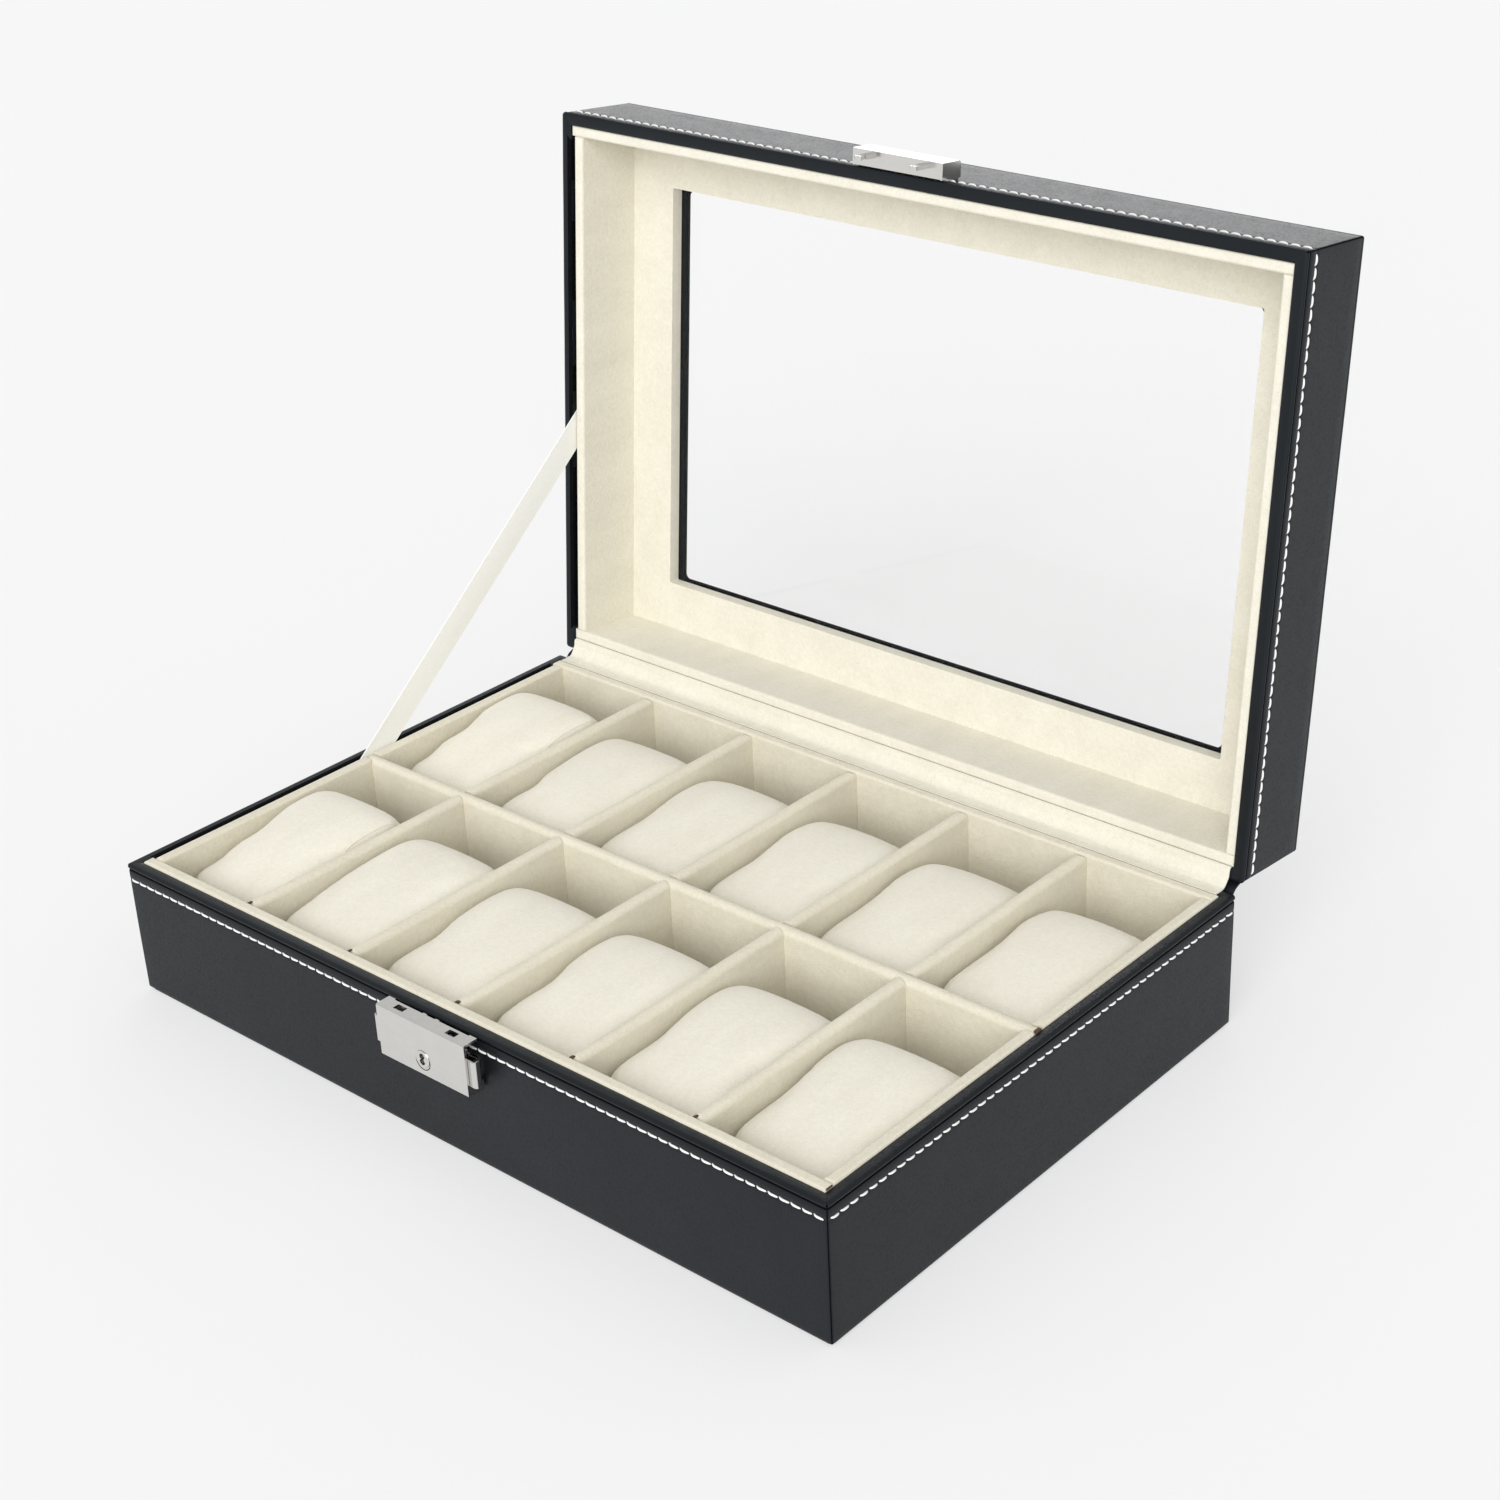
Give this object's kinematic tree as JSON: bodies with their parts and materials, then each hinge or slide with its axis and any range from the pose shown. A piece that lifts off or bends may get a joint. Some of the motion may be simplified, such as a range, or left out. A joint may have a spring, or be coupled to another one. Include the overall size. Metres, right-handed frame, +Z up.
{
  "type": "watch box",
  "caption": "Hinged display box for wristwatches: padded compartments with lift-out pillows, a window lid on a soft hinge, a ribbon stay and a push-button lock.",
  "frame": {"origin": "centre of the underside of the base", "axes": "+Z up, the lock and front face -Y, the hinge at the back +Y, +X to the right seen from the front"},
  "size_m": [0.3, 0.2635, 0.2558],
  "materials": {
    "leather": "fine-grained black imitation leather, satin",
    "velvet": "short-pile cream velvet",
    "pillow_velvet": "short-pile cream velvet over soft filling",
    "felt": "thin black felt",
    "ribbon": "cream satin ribbon",
    "thread": "white sewing thread",
    "fibreboard": "raw brown fibreboard",
    "nickel": "nickel plated, polished",
    "spring_steel": "bright spring steel",
    "glass": "clear float glass"
  },
  "bodies": {
    "base": {"base_back": "fibreboard", "base_bottom": "fibreboard", "base_bottom_felt": "felt", "base_front": "fibreboard", "base_leather_wrap": "leather", "base_left": "fibreboard", "base_right": "fibreboard", "cross_divider_1": "velvet", "cross_divider_2": "velvet", "cross_divider_3": "velvet", "cross_divider_4": "velvet", "cross_divider_5": "velvet", "floor_pad": "velvet", "hinge_leather": "leather", "hinge_velvet": "velvet", "left_spring": "spring_steel", "liner_back": "velvet", "liner_front": "velvet", "liner_left": "velvet", "liner_right": "velvet", "lock_back_plate": "nickel", "lock_case": "nickel", "lock_nails": "nickel", "long_divider": "velvet", "ribbon_stay": "ribbon", "right_spring": "spring_steel"},
    "lid": {"catch_back_plate": "nickel", "catch_case": "nickel", "catch_hooks": "nickel", "catch_nails": "nickel", "glass_pane": "glass", "lid_back": "fibreboard", "lid_front": "fibreboard", "lid_inner_panel": "velvet", "lid_leather_wrap": "leather", "lid_left": "fibreboard", "lid_liner_back": "velvet", "lid_liner_front": "velvet", "lid_liner_left": "velvet", "lid_liner_right": "velvet", "lid_right": "fibreboard", "lid_top_board": "fibreboard"},
    "left_button": {"left_button": "nickel"},
    "right_button": {"right_button": "nickel"},
    "key_barrel": {"key_barrel": "nickel"},
    "pillow_01": {"pillow_01": "pillow_velvet"},
    "pillow_02": {"pillow_02": "pillow_velvet"},
    "pillow_03": {"pillow_03": "pillow_velvet"},
    "pillow_04": {"pillow_04": "pillow_velvet"},
    "pillow_05": {"pillow_05": "pillow_velvet"},
    "pillow_06": {"pillow_06": "pillow_velvet"},
    "pillow_07": {"pillow_07": "pillow_velvet"},
    "pillow_08": {"pillow_08": "pillow_velvet"},
    "pillow_09": {"pillow_09": "pillow_velvet"},
    "pillow_10": {"pillow_10": "pillow_velvet"},
    "pillow_11": {"pillow_11": "pillow_velvet"},
    "pillow_12": {"pillow_12": "pillow_velvet"}
  },
  "joints": [
    {"name": "lid_hinge", "type": "hinge", "parent": "base", "child": "lid", "pos_m": [0, 0.1025, 0.0481], "axis": [-1, 0, 0], "range_deg": [-95.5, 0], "deforming": ["hinge_leather", "hinge_velvet", "ribbon_stay"]},
    {"name": "left_button_press", "type": "slide", "parent": "base", "child": "left_button", "axis": [1, 0, 0], "range_m": [0, 0.002], "stiffness_N_per_m": 400, "springref_m": -0.001, "deforming": ["left_spring"]},
    {"name": "right_button_press", "type": "slide", "parent": "base", "child": "right_button", "axis": [-1, 0, 0], "range_m": [0, 0.002], "stiffness_N_per_m": 400, "springref_m": -0.001, "deforming": ["right_spring"]},
    {"name": "key_turn", "type": "hinge", "parent": "base", "child": "key_barrel", "pos_m": [-0.0005, -0.107, 0.0363], "axis": [0, -1, 0], "range_deg": [0, 90]},
    {"name": "pillow_01_lift", "type": "slide", "parent": "base", "child": "pillow_01", "axis": [0, 0, 1], "range_m": [0, 0.06]},
    {"name": "pillow_02_lift", "type": "slide", "parent": "base", "child": "pillow_02", "axis": [0, 0, 1], "range_m": [0, 0.06]},
    {"name": "pillow_03_lift", "type": "slide", "parent": "base", "child": "pillow_03", "axis": [0, 0, 1], "range_m": [0, 0.06]},
    {"name": "pillow_04_lift", "type": "slide", "parent": "base", "child": "pillow_04", "axis": [0, 0, 1], "range_m": [0, 0.06]},
    {"name": "pillow_05_lift", "type": "slide", "parent": "base", "child": "pillow_05", "axis": [0, 0, 1], "range_m": [0, 0.06]},
    {"name": "pillow_06_lift", "type": "slide", "parent": "base", "child": "pillow_06", "axis": [0, 0, 1], "range_m": [0, 0.06]},
    {"name": "pillow_07_lift", "type": "slide", "parent": "base", "child": "pillow_07", "axis": [0, 0, 1], "range_m": [0, 0.06]},
    {"name": "pillow_08_lift", "type": "slide", "parent": "base", "child": "pillow_08", "axis": [0, 0, 1], "range_m": [0, 0.06]},
    {"name": "pillow_09_lift", "type": "slide", "parent": "base", "child": "pillow_09", "axis": [0, 0, 1], "range_m": [0, 0.06]},
    {"name": "pillow_10_lift", "type": "slide", "parent": "base", "child": "pillow_10", "axis": [0, 0, 1], "range_m": [0, 0.06]},
    {"name": "pillow_11_lift", "type": "slide", "parent": "base", "child": "pillow_11", "axis": [0, 0, 1], "range_m": [0, 0.06]},
    {"name": "pillow_12_lift", "type": "slide", "parent": "base", "child": "pillow_12", "axis": [0, 0, 1], "range_m": [0, 0.06]}
  ]
}
